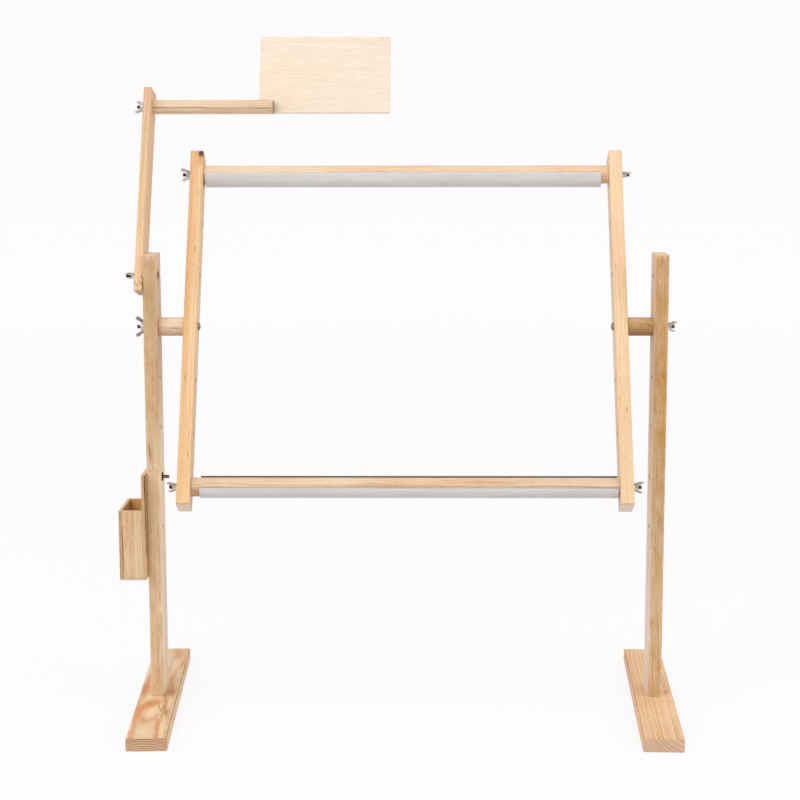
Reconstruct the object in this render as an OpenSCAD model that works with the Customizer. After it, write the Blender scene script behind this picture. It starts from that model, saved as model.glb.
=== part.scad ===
// Embroidery floor stand. Two posts on flat feet carry a tilting frame with two fabric rods,
// a swinging arm with a small board for the chart, and a box for scissors and needles.
// Millimetres, Z up, the front is -Y. The origin is on the floor, midway between the posts.

/* [Stand] */
// Height of the posts' tops above the floor
stand_h = 700; // [660:5:900]
// Clear width between the two posts
post_gap = 746; // [600:2:1000]
// Thickness of a post, measured across the stand
post_t = 20; // [18:1:30]
// Depth of a post, front to back
post_d = 60; // [50:1:80]
// Width of a foot
foot_w = 60; // [50:1:90]
// Thickness of a foot
foot_h = 20; // [16:1:30]
// Length of a foot, front to back
foot_l = 460; // [360:5:600]
// Angle by which each foot's back end turns outwards
foot_splay = 2.5; // [0:0.5:6]
// Radius of the eased long edges of posts and feet
edge_r = 2.5; // [1:0.5:4]

/* [Post holes] */
// Distance from a post's top to its highest hole
top_hole_drop = 33; // [24:1:45]
// Distance between neighbouring holes of a post
post_pitch = 77; // [70:1:90]
// Number of holes in a post
post_holes = 6; // [5:1:7]
// Hole that carries the frame, counted down from the top one, which is 0
pivot_hole = 1; // [1:1:2]
// Hole that carries the tool box, counted down from the top one
box_hole = 4; // [3:1:4]

/* [Frame] */
// Angle by which the frame's top leans back
frame_tilt = 28; // [0:1:50]
// Length of a side bar
bar_l = 570; // [480:5:620]
// Width of a side bar's broad face
bar_w = 40; // [34:1:50]
// Thickness of a side bar
bar_t = 20; // [16:1:26]
// Radius of the eased edges of a side bar
bar_edge_r = 2; // [1:0.5:3]
// Distance between neighbouring spare holes of a side bar
bar_pitch = 85; // [60:1:95]
// Number of spare holes on each side of a bar's pivot
bar_spares = 2; // [1:1:2]
// Distance from a side bar's end to the rod's axis
rod_inset = 32; // [24:1:45]
// Diameter of the fabric rods
rod_d = 28; // [22:1:32]
// Length of the spacer between a post and a side bar
spacer_l = 39; // [34:1:60]
// Outside diameter of the spacers
spacer_d = 28; // [20:1:36]

/* [Clips] */
// Play of a clip round its rod, on the radius
clip_play = 1.2; // [0.8:0.1:1.8]
// Wall thickness of a clip
clip_wall = 1.8; // [1.4:0.1:2.6]
// Angle of a clip's open mouth, between its lips
clip_mouth = 118; // [100:1:124]
// How much shorter a clip is than its rod
clip_short = 15; // [13:1:60]
// Gap left where a clip bears on its rod
clip_gap = 0.15; // [0.1:0.05:0.3]
// Direction that the top clip's mouth faces, from the front upwards
top_mouth_turn = 84; // [0:1:120]
// Direction that the bottom clip's mouth faces, from the front upwards
bottom_mouth_turn = 61; // [0:1:120]
// Distance that the top clip sits to the left of the rod's middle
top_clip_left = 4.5; // [0:0.5:6]
// Distance that the bottom clip sits to the right of the rod's middle
bottom_clip_right = 5.5; // [0:0.5:6]

/* [Chart holder] */
// Length of the chart arm along its middle
arm_l = 340; // [300:5:380]
// Width of the chart arm
arm_w = 56; // [44:1:64]
// Thickness of the chart arm
arm_t = 12; // [9:1:16]
// Radius of the eased edges of the chart arm
arm_edge_r = 2; // [1:0.5:3]
// Slant of the chart arm's ends, from square
arm_end_slant = 15; // [0:1:25]
// Distance along the arm's middle from its ends to its holes
arm_inset = 28; // [22:1:36]
// Angle by which the chart arm leans back
arm_lean = 28; // [0:1:60]
// Diameter of the chart dowel
dowel_d = 22; // [18:1:28]
// Length of the chart dowel
dowel_l = 188; // [140:1:240]
// Width of the chart board
board_w = 205; // [150:1:280]
// Height of the chart board
board_h = 130; // [90:1:160]
// Thickness of the chart board
board_t = 4; // [3:0.5:5]
// Radius of the chart board's corners
board_r = 3; // [1:0.5:12]
// Angle by which the chart board leans back
board_lean = 25; // [0:1:60]
// Depth of the flat seat cut in the dowel for the board
seat_cut = 5; // [4:0.5:7]
// Length of that seat, from the dowel's free end
seat_l = 24; // [18:1:40]
// Distance of the board's lower edge below the dowel's axis
board_drop = 7; // [5.5:0.5:8]

/* [Tool box] */
// Thickness of the tool box's mounting plate
plate_t = 6; // [4:0.5:10]
// Height of the plate's top edge above its bolt
plate_over = 11; // [8:1:20]
// Distance from the bolt down to the box's rim
rim_drop = 44; // [30:1:50]
// Height of the box below its rim
box_h = 107; // [80:1:115]
// Depth of the box and its plate, front to back
box_d = 95; // [70:1:110]
// Clear width inside the box
box_clear_w = 30; // [20:1:40]
// Thickness of the box's walls
box_wall = 5; // [3:0.5:8]
// Thickness of the box's bottom
box_bottom_t = 3; // [3:0.5:8]
// Radius of the eased edges of the box's boards
box_edge_r = 0.8; // [0.4:0.1:1.4]

/* [Hardware] */
// Diameter of the bolts and hanger bolts
bolt_d = 6; // [5:0.5:7]
// Play on the radius of a bolt in a hole that it turns in
turn_play = 0.1; // [0.05:0.01:0.1]
// Play on the radius of a fastener in a hole that holds it
hold_play = 0.05; // [0.02:0.01:0.1]
// Gap between faces that turn on each other
turn_gap = 0.05; // [0.03:0.01:0.1]
// How much deeper a blind hole is than its fastener
drill_over = 1; // [0.5:0.5:3]
// Diameter of a carriage bolt's domed head
head_d = 14; // [12:0.5:16]
// Height of a carriage bolt's domed head
head_h = 4.2; // [3:0.1:5]
// Length of the square neck under a carriage bolt's head
neck_l = 4; // [3:0.5:5]
// Length that a bolt stands out of its wing nut's hub
bolt_over = 5; // [1:0.5:6]
// Length that the chart arm's bolt stands out of its wing nut's hub
arm_bolt_over = 8; // [4:0.5:9]
// Length of a hanger bolt inside a rod or dowel
stud_bite = 30; // [20:1:40]
// Length of the tapered tip of a bolt
tip_l = 0.8; // [0.5:0.1:1]
// Diameter of a wing nut's hub at its foot
hub_d = 12; // [10.5:0.5:14]
// Diameter of a wing nut's hub at its top
hub_top_d = 9.5; // [9:0.1:10]
// Height of a wing nut's hub
hub_h = 8; // [6:0.5:10]
// Height of the straight collar at the hub's foot
hub_collar_h = 1.4; // [0.8:0.1:2]
// Height of the cone between the collar and the hub's upper part
hub_cone_h = 1.6; // [1:0.1:2.4]
// Height above the foot at which a wing's lower edge leaves the hub
wing_start = 1; // [0.5:0.1:2]
// Distance of a wing's root beyond the hub's foot
wing_root_out = 0.8; // [0:0.1:1]
// Distance between the tips of a wing nut's wings
wing_span = 32; // [28:1:36]
// Height of a wing nut over its wings
wing_h = 15.5; // [13:0.5:17]
// Width of a wing at its tip
wing_w = 6; // [5:0.2:8]
// Width of a wing where it leaves the hub
wing_root_w = 5.2; // [4.6:0.2:6]
// Thickness of a wing
wing_t = 2.2; // [1.6:0.1:3]
// Length of the tool box bolt's end that stands out of the post
box_bolt_out = 11; // [8:0.5:20]
// Diameter of the tool box bolt's low head
pan_d = 12; // [10:0.5:14]
// Height of the tool box bolt's low head
pan_h = 3.5; // [3:0.1:5]
// Width and height of the bevel round that head's top
pan_bevel = 1; // [0.5:0.1:1.5]
// Diameter of the flange of the nut set into the post
tee_flange_d = 14; // [12:0.5:20]
// Thickness of that flange
tee_flange_t = 1.2; // [0.8:0.1:2]
// Outside diameter of that nut's barrel
tee_barrel_d = 8; // [7.6:0.1:9]
// Length of that nut's barrel in the post
tee_barrel_l = 9; // [6:0.5:12]
// Diameter of the foot screws
foot_screw_d = 4; // [3:0.5:5]
// Length of the foot screws
foot_screw_l = 55; // [40:1:70]
// Distance between the two screws of a foot
foot_screw_gap = 36; // [24:1:38]
// Depth of the foot screws' heads below the foot's sole
foot_screw_sink = 1.5; // [1:0.1:4]
// Diameter of the board screws
board_screw_d = 2.5; // [2:0.1:3]
// Length of the board screws
board_screw_l = 12; // [9:0.5:14]
// Length of a screw's point, in screw diameters
screw_point = 1.5; // [1:0.1:2]
// Width of a screw's blunt tip, in screw diameters
screw_tip = 0.2; // [0.1:0.05:0.4]
// Depth of the cross slots in a screw's head, in screw diameters
slot_depth = 0.3; // [0.2:0.05:0.4]
// Length of the cross slots in a screw's head, in screw diameters
slot_reach = 1.2; // [1:0.1:1.5]
// Distance between the two board screws
board_screw_gap = 12; // [9:0.5:13]
// Width of the slots in the screws' heads
slot_w = 0.9; // [0.6:0.1:1]

/* [Wing nut turns] */
// Turn of the left pivot nut's wings, from upright
left_pivot_nut_turn = 4; // [0:1:180]
// Turn of the right pivot nut's wings
right_pivot_nut_turn = 55; // [0:1:180]
// Turn of the nut's wings at the top rod's left end
top_left_nut_turn = 102; // [0:1:180]
// Turn of the nut's wings at the top rod's right end
top_right_nut_turn = 104; // [0:1:180]
// Turn of the nut's wings at the bottom rod's left end
bottom_left_nut_turn = 100; // [0:1:180]
// Turn of the nut's wings at the bottom rod's right end
bottom_right_nut_turn = 74; // [0:1:180]
// Turn of the chart arm nut's wings
arm_nut_turn = 112; // [0:1:180]
// Turn of the chart dowel nut's wings
dowel_nut_turn = 30; // [0:1:180]

/* [Hidden] */
$fn = 96;

// Distances from the middle of the stand to the faces of posts and side bars
post_in = post_gap / 2;
post_out = post_in + post_t;
post_mid = post_in + post_t / 2;
bar_out = post_in - spacer_l;
bar_in = bar_out - bar_t;

// Heights of the post holes that are in use
top_hole_z = stand_h - top_hole_drop;
pivot_z = top_hole_z - pivot_hole * post_pitch;
box_bolt_z = top_hole_z - box_hole * post_pitch;

// Distance from the frame's pivot to a rod's axis
rod_reach = bar_l / 2 - rod_inset;
// Places of a side bar's holes along it, from its pivot
bar_holes = concat([for (i = [-bar_spares : bar_spares]) i * bar_pitch], [-rod_reach, rod_reach]);
rod_r = rod_d / 2;
rod_end = bar_in - turn_gap;
hole_d = bolt_d + 2 * turn_play;
tight_d = bolt_d + 2 * hold_play;
screw_hole_extra = 2 * hold_play;

// Middle radius of a clip's wall, and the angle from its mouth's middle to each rounded lip
clip_mid_r = rod_r + clip_play + clip_wall / 2;
lip_turn = clip_mouth / 2 + asin(clip_wall / 2 / clip_mid_r);
// Offset of a clip that hangs by its lips, and of one that is pushed up against its rod
bearing_r = rod_r + clip_wall / 2 + clip_gap;
hang = clip_mid_r * cos(lip_turn) - sqrt(pow(bearing_r, 2) - pow(clip_mid_r * sin(lip_turn), 2));
push = clip_play - clip_gap;

// Distances from the middle of the stand to the chart arm's faces
arm_in = post_out + turn_gap;
arm_out = arm_in + arm_t;
// Distance between the chart arm's two holes
arm_reach = arm_l - 2 * arm_inset;
dowel_y = arm_reach * sin(arm_lean);
dowel_z = top_hole_z + arm_reach * cos(arm_lean);
dowel_end = post_out - dowel_l;
dowel_r = dowel_d / 2;
seat_v = dowel_r - seat_cut;
board_edge = dowel_end + seat_l;

// Distances from the middle of the stand to the tool box's faces
plate_in = post_out + turn_gap;
plate_out = plate_in + plate_t;
box_in = plate_out + box_clear_w;
box_rim_z = box_bolt_z - rim_drop;
box_floor_z = box_rim_z - box_h;

post_tint = "burlywood";
frame_tint = "navajowhite";
metal_tint = "silver";
clip_tint = "white";
brass_tint = "darkgoldenrod";
small = 0.5;

// Rectangle with rounded corners, centred
module rounded_rect(size, r) {
    square([size[0] - 2 * r, size[1]], center = true);
    square([size[0], size[1] - 2 * r], center = true);
    for (x = [-1, 1], y = [-1, 1])
        translate([x * (size[0] / 2 - r), y * (size[1] / 2 - r)])
            circle(r);
}

// Board with eased long edges, standing on the origin: t along X, w along Y, l up
module plank(t, w, l, r) {
    linear_extrude(l)
        rounded_rect([t, w], r);
}

// Places something on one side of the stand, with its +Z pointing outwards along X
module outwards(side, x, y = 0, z = 0) {
    translate([side * x, y, z])
        rotate([0, side * 90, 0])
            children();
}

// Frame's own axes: origin at its pivot, Z along the side bars, Y through the frame
module on_frame() {
    translate([0, 0, pivot_z])
        rotate([-frame_tilt, 0, 0])
            children();
}

// Chart arm's own axes: origin at its pivot, Z along the arm
module on_arm() {
    translate([0, 0, top_hole_z])
        rotate([-arm_lean, 0, 0])
            children();
}

// Chart board's own axes: origin on the dowel's axis, Z up the board, Y out of its back
module on_dowel() {
    translate([0, dowel_y, dowel_z])
        rotate([-board_lean, 0, 0])
            children();
}

// Round bolt along Z with tapered tips at one or both ends
module shank(d, l, both = false) {
    foot = both ? tip_l : 0;
    translate([0, 0, foot])
        cylinder(d = d, h = l - tip_l - foot);
    translate([0, 0, l - tip_l])
        cylinder(d1 = d, d2 = d - tip_l, h = tip_l);
    if (both)
        cylinder(d1 = d - tip_l, d2 = d, h = tip_l);
}

// Carriage bolt: the head's underside is at z = 0, the square neck and the shank run up from it
module carriage_bolt(l) {
    dome_r = (pow(head_d / 2, 2) + pow(head_h, 2)) / (2 * head_h);
    intersection() {
        translate([0, 0, dome_r - head_h])
            sphere(dome_r);
        translate([0, 0, -head_h])
            cylinder(d = head_d, h = head_h);
    }
    translate([-bolt_d / 2, -bolt_d / 2, 0])
        cube([bolt_d, bolt_d, neck_l]);
    shank(bolt_d, l);
}

// Socket that a carriage bolt's neck has pressed into the wood
module neck_socket() {
    translate([-tight_d / 2, -tight_d / 2, -small])
        cube([tight_d, tight_d, neck_l + small]);
}

// Screw with a flat countersunk head: the head's top is at z = 0, the point runs up
module wood_screw(d, l) {
    difference() {
        union() {
            cylinder(d1 = 2 * d, d2 = d, h = d / 2);
            cylinder(d = d, h = l - screw_point * d);
            translate([0, 0, l - screw_point * d])
                cylinder(d1 = d, d2 = screw_tip * d, h = screw_point * d);
        }
        for (turn = [0, 90])
            rotate([0, 0, turn])
                cube([slot_reach * d, slot_w, 2 * slot_depth * d], center = true);
    }
}

// Hole for that screw, with room for its head below z = 0 by the given depth
module wood_screw_hole(d, l, sink) {
    translate([0, 0, -sink - small])
        cylinder(d = 2 * d + screw_hole_extra, h = sink + small);
    cylinder(d1 = 2 * d + screw_hole_extra, d2 = d + screw_hole_extra, h = d / 2);
    cylinder(d = d + screw_hole_extra, h = l + drill_over);
}

// Flat shape round two circles in a plane: their discs and the quadrilateral of their common tangents
module lobe(p1, r1, p2, r2) {
    gap = norm(p2 - p1);
    way = atan2(p2[1] - p1[1], p2[0] - p1[0]);
    slope = acos((r1 - r2) / gap);
    translate(p1)
        circle(r1);
    translate(p2)
        circle(r2);
    polygon([
        p1 + r1 * [cos(way + slope), sin(way + slope)],
        p1 + r1 * [cos(way - slope), sin(way - slope)],
        p2 + r2 * [cos(way - slope), sin(way - slope)],
        p2 + r2 * [cos(way + slope), sin(way + slope)]
    ]);
}

// Wing nut: its foot is at z = 0 and its wings rise away from it
module wing_nut(turn) {
    tip_x = wing_span / 2 - wing_w / 2;
    tip_z = wing_h - wing_w / 2;
    root_x = hub_d / 2 + wing_root_out;
    root_z = wing_start + wing_root_w / 2;
    color(metal_tint)
        rotate([0, 0, turn])
            difference() {
                union() {
                    rotate_extrude()
                        polygon([
                            [0, 0],
                            [hub_d / 2, 0],
                            [hub_d / 2, hub_collar_h],
                            [hub_top_d / 2, hub_collar_h + hub_cone_h],
                            [hub_top_d / 2, hub_h],
                            [0, hub_h]
                        ]);
                    for (way = [-1, 1])
                        rotate([90, 0, 0])
                            linear_extrude(wing_t, center = true)
                                lobe(
                                    [way * root_x, root_z],
                                    wing_root_w / 2,
                                    [way * tip_x, tip_z],
                                    wing_w / 2
                                );
                }
                translate([0, 0, -small])
                    cylinder(d = tight_d, h = wing_h + 2 * small);
            }
}

module foot(side) {
    color(post_tint)
        difference() {
            translate([side * post_mid, 0, 0])
                rotate([0, 0, -side * foot_splay])
                    translate([0, foot_l / 2, foot_h / 2])
                        rotate([90, 0, 0])
                            linear_extrude(foot_l)
                                rounded_rect([foot_w, foot_h], edge_r);
            at_foot_screws(side)
                wood_screw_hole(foot_screw_d, foot_screw_l, foot_screw_sink);
        }
}

module at_foot_screws(side) {
    for (y = [-1, 1])
        translate([side * post_mid, y * foot_screw_gap / 2, foot_screw_sink])
            children();
}

module foot_screws(side) {
    color(metal_tint)
        at_foot_screws(side)
            wood_screw(foot_screw_d, foot_screw_l);
}

// Post with its row of bolt holes
module drilled_post(side) {
    difference() {
        translate([side * post_mid, 0, foot_h])
            plank(post_t, post_d, stand_h - foot_h, edge_r);
        for (i = [0 : post_holes - 1])
            outwards(side, post_in - small, 0, top_hole_z - i * post_pitch)
                cylinder(d = hole_d, h = post_t + 2 * small);
        at_foot_screws(side)
            wood_screw_hole(foot_screw_d, foot_screw_l, foot_screw_sink);
    }
}

module left_foot() {
    foot(-1);
}

module right_foot() {
    foot(1);
}

// The left post also holds the flush head of the chart arm's bolt and the nut of the tool box
module left_post() {
    color(post_tint)
        difference() {
            drilled_post(-1);
            outwards(-1, post_in - small, 0, top_hole_z)
                cylinder(d = head_d + 2 * hold_play, h = head_h + small);
            outwards(-1, post_in + head_h, 0, top_hole_z)
                neck_socket();
            outwards(-1, post_in - small, 0, box_bolt_z)
                cylinder(d = tee_barrel_d + 2 * hold_play, h = tee_barrel_l + small);
        }
}

module right_post() {
    color(post_tint)
        drilled_post(1);
}

module left_foot_screws() {
    foot_screws(-1);
}

module right_foot_screws() {
    foot_screws(1);
}

module spacer(side) {
    color(frame_tint)
        outwards(side, bar_out + turn_gap, 0, pivot_z)
            difference() {
                cylinder(d = spacer_d, h = spacer_l - turn_gap);
                translate([0, 0, -small])
                    cylinder(d = hole_d, h = spacer_l + 2 * small);
            }
}

module left_spacer() {
    spacer(-1);
}

module right_spacer() {
    spacer(1);
}

// The bolt's square neck sits in the side bar, so the bolt tilts with the frame
module pivot_bolt(side) {
    color(brass_tint)
        on_frame()
            outwards(side, bar_in)
                carriage_bolt(post_out + hub_h + bolt_over - bar_in);
}

module left_pivot_bolt() {
    pivot_bolt(-1);
}

module right_pivot_bolt() {
    pivot_bolt(1);
}

module left_pivot_wing_nut() {
    outwards(-1, post_out + turn_gap, 0, pivot_z)
        wing_nut(left_pivot_nut_turn);
}

module right_pivot_wing_nut() {
    outwards(1, post_out + turn_gap, 0, pivot_z)
        wing_nut(right_pivot_nut_turn);
}

module side_bar(side) {
    color(frame_tint)
        on_frame()
            difference() {
                translate([side * (bar_in + bar_t / 2), 0, -bar_l / 2])
                    plank(bar_t, bar_w, bar_l, bar_edge_r);
                for (u = bar_holes)
                    outwards(side, bar_in - small, 0, u)
                        cylinder(d = hole_d, h = bar_t + 2 * small);
                outwards(side, bar_in)
                    neck_socket();
            }
}

module left_side_bar() {
    side_bar(-1);
}

module right_side_bar() {
    side_bar(1);
}

// Rod between the side bars at the given distance from the pivot, bored for its hanger bolts
module rod(u) {
    color(frame_tint)
        on_frame()
            translate([0, 0, u])
                difference() {
                    outwards(1, -rod_end)
                        cylinder(d = rod_d, h = 2 * rod_end);
                    for (side = [-1, 1])
                        outwards(side, rod_end - stud_bite - drill_over)
                            cylinder(d = tight_d, h = stud_bite + drill_over + small);
                }
}

module rod_studs(u) {
    color(metal_tint)
        on_frame()
            for (side = [-1, 1])
                outwards(side, rod_end - stud_bite, 0, u)
                    shank(bolt_d, stud_bite + bar_t + hub_h + bolt_over, true);
}

module rod_wing_nut(side, u, turn) {
    on_frame()
        outwards(side, bar_out + turn_gap, 0, u)
            wing_nut(turn);
}

module top_rod() {
    rod(rod_reach);
}

module bottom_rod() {
    rod(-rod_reach);
}

module top_rod_studs() {
    rod_studs(rod_reach);
}

module bottom_rod_studs() {
    rod_studs(-rod_reach);
}

module top_left_wing_nut() {
    rod_wing_nut(-1, rod_reach, top_left_nut_turn);
}

module top_right_wing_nut() {
    rod_wing_nut(1, rod_reach, top_right_nut_turn);
}

module bottom_left_wing_nut() {
    rod_wing_nut(-1, -rod_reach, bottom_left_nut_turn);
}

module bottom_right_wing_nut() {
    rod_wing_nut(1, -rod_reach, bottom_right_nut_turn);
}

// Clip's section: a ring with a sector cut out of it towards +X, and two rounded lips
module clip_section() {
    reach = 2 * clip_mid_r;
    difference() {
        circle(clip_mid_r + clip_wall / 2);
        circle(clip_mid_r - clip_wall / 2);
        polygon([
            [0, 0],
            reach * [cos(lip_turn), -sin(lip_turn)],
            [reach, -reach],
            [reach, reach],
            reach * [cos(lip_turn), sin(lip_turn)]
        ]);
    }
    for (turn = [-lip_turn, lip_turn])
        translate(clip_mid_r * [cos(turn), sin(turn)])
            circle(clip_wall / 2);
}

// Clip round a rod: its mouth faces the given direction, and its middle is offset along it
module clip(u, x, mouth_turn, offset) {
    length = 2 * rod_end - clip_short;
    color(clip_tint)
        translate([x - length / 2, rod_reach * sign(u) * sin(frame_tilt), pivot_z + u * cos(frame_tilt)])
            rotate([90 - mouth_turn, 0, 0])
                rotate([90, 0, 90])
                    translate([0, offset])
                        linear_extrude(length)
                            rotate(90)
                                clip_section();
}

module top_clip() {
    clip(rod_reach, -top_clip_left, top_mouth_turn, -hang);
}

module bottom_clip() {
    clip(-rod_reach, bottom_clip_right, bottom_mouth_turn, push);
}

// Chart arm: its ends are cut on a slant, higher at the back
module chart_arm() {
    color(post_tint)
        on_arm()
            difference() {
                intersection() {
                    translate([-arm_in - arm_t / 2, 0, -arm_w])
                        plank(arm_t, arm_w, arm_l + arm_w, arm_edge_r);
                    translate([-arm_in, 0, arm_reach / 2])
                        rotate([arm_end_slant, 0, 0])
                            cube([4 * arm_t, 3 * arm_w, arm_l * cos(arm_end_slant)], center = true);
                }
                for (u = [0, arm_reach])
                    outwards(-1, arm_in - small, 0, u)
                        cylinder(d = hole_d, h = arm_t + 2 * small);
            }
}

// Carriage bolt with its head flush in the post's inner face
module chart_arm_bolt() {
    color(brass_tint)
        outwards(-1, post_in + head_h, 0, top_hole_z)
            carriage_bolt(post_t - head_h + arm_t + hub_h + arm_bolt_over);
}

module chart_arm_wing_nut() {
    outwards(-1, arm_out + turn_gap, 0, top_hole_z)
        wing_nut(arm_nut_turn);
}

// Screws that hold the board, from behind, in the dowel's seat
module at_board_screws() {
    for (side = [-1, 1])
        translate([-board_edge + seat_l / 2 + side * board_screw_gap / 2, seat_v + board_t, 0])
            rotate([90, 0, 0])
                children();
}

module chart_dowel() {
    color(frame_tint)
        on_dowel()
            difference() {
                outwards(-1, dowel_end)
                    cylinder(d = dowel_d, h = dowel_l);
                translate([-board_edge, seat_v, -dowel_r - small])
                    cube([seat_l + small, dowel_r, dowel_d + 2 * small]);
                outwards(-1, post_out - stud_bite - drill_over)
                    cylinder(d = tight_d, h = stud_bite + drill_over + small);
                at_board_screws()
                    wood_screw_hole(board_screw_d, board_screw_l, 0);
            }
}

module chart_dowel_stud() {
    color(metal_tint)
        on_dowel()
            outwards(-1, post_out - stud_bite)
                shank(bolt_d, stud_bite + arm_t + hub_h + bolt_over, true);
}

module chart_dowel_wing_nut() {
    on_dowel()
        outwards(-1, arm_out + turn_gap)
            wing_nut(dowel_nut_turn);
}

module chart_board() {
    color("blanchedalmond")
        on_dowel()
            difference() {
                translate([-board_edge + board_w / 2, seat_v + board_t, board_h / 2 - board_drop])
                    rotate([90, 0, 0])
                        linear_extrude(board_t)
                            rounded_rect([board_w, board_h], board_r);
                at_board_screws()
                    wood_screw_hole(board_screw_d, board_screw_l, 0);
            }
}

module chart_board_screws() {
    color(metal_tint)
        on_dowel()
            at_board_screws()
                wood_screw(board_screw_d, board_screw_l);
}

// Mounting plate of the tool box, against the post's outer face
module tool_box_plate() {
    color(post_tint)
        difference() {
            translate([-plate_in - plate_t / 2, 0, box_floor_z])
                plank(plate_t, box_d, box_h + rim_drop + plate_over, box_edge_r);
            outwards(-1, plate_in - small, 0, box_bolt_z)
                cylinder(d = hole_d, h = plate_t + 2 * small);
        }
}

// Narrow wall between the plate and the outer wall, at the front or at the rear
module tool_box_end(end) {
    color(post_tint)
        translate([-plate_out - box_clear_w / 2, end * (box_d - box_wall) / 2, box_floor_z + box_bottom_t])
            plank(box_clear_w, box_wall, box_h - box_bottom_t, box_edge_r);
}

module tool_box_front() {
    tool_box_end(-1);
}

module tool_box_rear() {
    tool_box_end(1);
}

module tool_box_side() {
    color(post_tint)
        translate([-box_in - box_wall / 2, 0, box_floor_z])
            plank(box_wall, box_d, box_h, box_edge_r);
}

module tool_box_bottom() {
    color(post_tint)
        translate([-box_in, -box_d / 2, box_floor_z])
            cube([box_clear_w, box_d, box_bottom_t]);
}

// Bolt through the plate and the post, with a low slotted head outside
module tool_box_bolt() {
    color(metal_tint)
        translate([-plate_out - turn_gap, 0, box_bolt_z])
            rotate([0, 90, 0])
                difference() {
                    union() {
                        translate([0, 0, -pan_h])
                            cylinder(d1 = pan_d - 2 * pan_bevel, d2 = pan_d, h = pan_bevel);
                        translate([0, 0, pan_bevel - pan_h])
                            cylinder(d = pan_d, h = pan_h - pan_bevel);
                        shank(bolt_d, plate_t + post_t + box_bolt_out);
                    }
                    for (turn = [45, 135])
                        translate([0, 0, -pan_h])
                            rotate([0, 0, turn])
                                cube([pan_d / 2, slot_w, pan_h], center = true);
                }
}

// Flanged nut set into the post's inner face
module tool_box_tee_nut() {
    color(brass_tint)
        outwards(-1, post_in, 0, box_bolt_z)
            difference() {
                union() {
                    translate([0, 0, -tee_flange_t])
                        cylinder(d = tee_flange_d, h = tee_flange_t);
                    cylinder(d = tee_barrel_d, h = tee_barrel_l);
                }
                translate([0, 0, -tee_flange_t - small])
                    cylinder(d = tight_d, h = tee_flange_t + tee_barrel_l + 2 * small);
            }
}

left_foot();
right_foot();
left_post();
right_post();
left_foot_screws();
right_foot_screws();
left_spacer();
right_spacer();
left_pivot_bolt();
right_pivot_bolt();
left_pivot_wing_nut();
right_pivot_wing_nut();
left_side_bar();
right_side_bar();
top_rod();
bottom_rod();
top_rod_studs();
bottom_rod_studs();
top_left_wing_nut();
top_right_wing_nut();
bottom_left_wing_nut();
bottom_right_wing_nut();
top_clip();
bottom_clip();
chart_arm();
chart_arm_bolt();
chart_arm_wing_nut();
chart_dowel();
chart_dowel_stud();
chart_dowel_wing_nut();
chart_board();
chart_board_screws();
tool_box_plate();
tool_box_front();
tool_box_rear();
tool_box_side();
tool_box_bottom();
tool_box_bolt();
tool_box_tee_nut();
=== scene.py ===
import math
import bmesh
import bpy
from mathutils import Matrix, Vector


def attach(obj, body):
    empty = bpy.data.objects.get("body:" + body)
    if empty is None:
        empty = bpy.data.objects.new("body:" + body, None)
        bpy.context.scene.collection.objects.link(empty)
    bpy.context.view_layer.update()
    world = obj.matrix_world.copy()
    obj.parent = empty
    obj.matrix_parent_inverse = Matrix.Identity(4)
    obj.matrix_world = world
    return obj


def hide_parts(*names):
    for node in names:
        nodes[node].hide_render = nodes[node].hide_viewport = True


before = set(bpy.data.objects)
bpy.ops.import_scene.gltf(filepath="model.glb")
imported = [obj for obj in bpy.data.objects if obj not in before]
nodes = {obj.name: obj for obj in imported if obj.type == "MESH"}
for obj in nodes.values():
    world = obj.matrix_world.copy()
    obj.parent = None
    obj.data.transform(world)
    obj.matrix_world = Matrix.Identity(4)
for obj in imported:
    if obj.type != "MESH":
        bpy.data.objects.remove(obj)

# Looks of an embroidery floor stand: bare softwood boards, white plastic clips, plated hardware.
# Lengths below are in millimetres, and become metres when a mesh or a place is made.

for name in ("Cube", "Light", "Camera"):
    if name in bpy.data.objects:
        bpy.data.objects.remove(bpy.data.objects[name])
bpy.context.view_layer.update()
MM = 0.001
scene = bpy.context.scene

# The stand's sizes, as in the CAD source: faces and middles from the middle plane, heights, slopes
POST_IN, POST_OUT, BAR_IN, BAR_OUT = 373, 393, 314, 334
FOOT_X, POST_X, BAR_X, SPACER_X, ARM_X, DOWEL_X, BOX_X = 383, 383, 324, 353.5, 399, 299, 415
TOP_HOLE_Z, PIVOT_Z, BOX_BOLT_Z, POST_PITCH = 667, 590, 359, 77
FOOT_MID_Z, POST_MID_Z, BOX_MID_Z, BOX_BOTTOM_Z = 10, 360, 290, 210
TILT, ARM_LEAN, BOARD_LEAN, FOOT_SPLAY = 28, 28, 25, 2.5
ROD_REACH, ARM_REACH, ARM_T, PLATE_T, TURN_GAP = 253, 284, 12, 6, 0.05
ROD_END = BAR_IN - TURN_GAP
BOARD_MID = (-126.5, 8, 58)
DOWEL_Y = ARM_REACH * math.sin(math.radians(ARM_LEAN))
DOWEL_Z = TOP_HOLE_Z + ARM_REACH * math.cos(math.radians(ARM_LEAN))
X, Y, Z = (1, 0, 0), (0, 1, 0), (0, 0, 1)


def shift(x, y, z):
    """Move by millimetres."""
    return Matrix.Translation((x * MM, y * MM, z * MM))


def turn(axis, degrees):
    return Matrix.Rotation(math.radians(degrees), 4, axis)


def outwards(side, x, y=0, z=0):
    """Place at a distance x to one side, whose own z axis points away from the middle plane."""
    return shift(side * x, y, z) @ turn("Y", side * 90)


def along(matrix, x, y):
    """Place whose axes x and y are the given ones of a matrix, and z is their cross product."""
    cols = [matrix.to_3x3() @ Vector(v) for v in (x, y)]
    cols.append(cols[0].cross(cols[1]))
    place = Matrix(cols).transposed().to_4x4()
    place.translation = matrix.translation
    return place


ON_FRAME = shift(0, 0, PIVOT_Z) @ turn("X", -TILT)
ON_DOWEL = shift(0, DOWEL_Y, DOWEL_Z) @ turn("X", -BOARD_LEAN)


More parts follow.
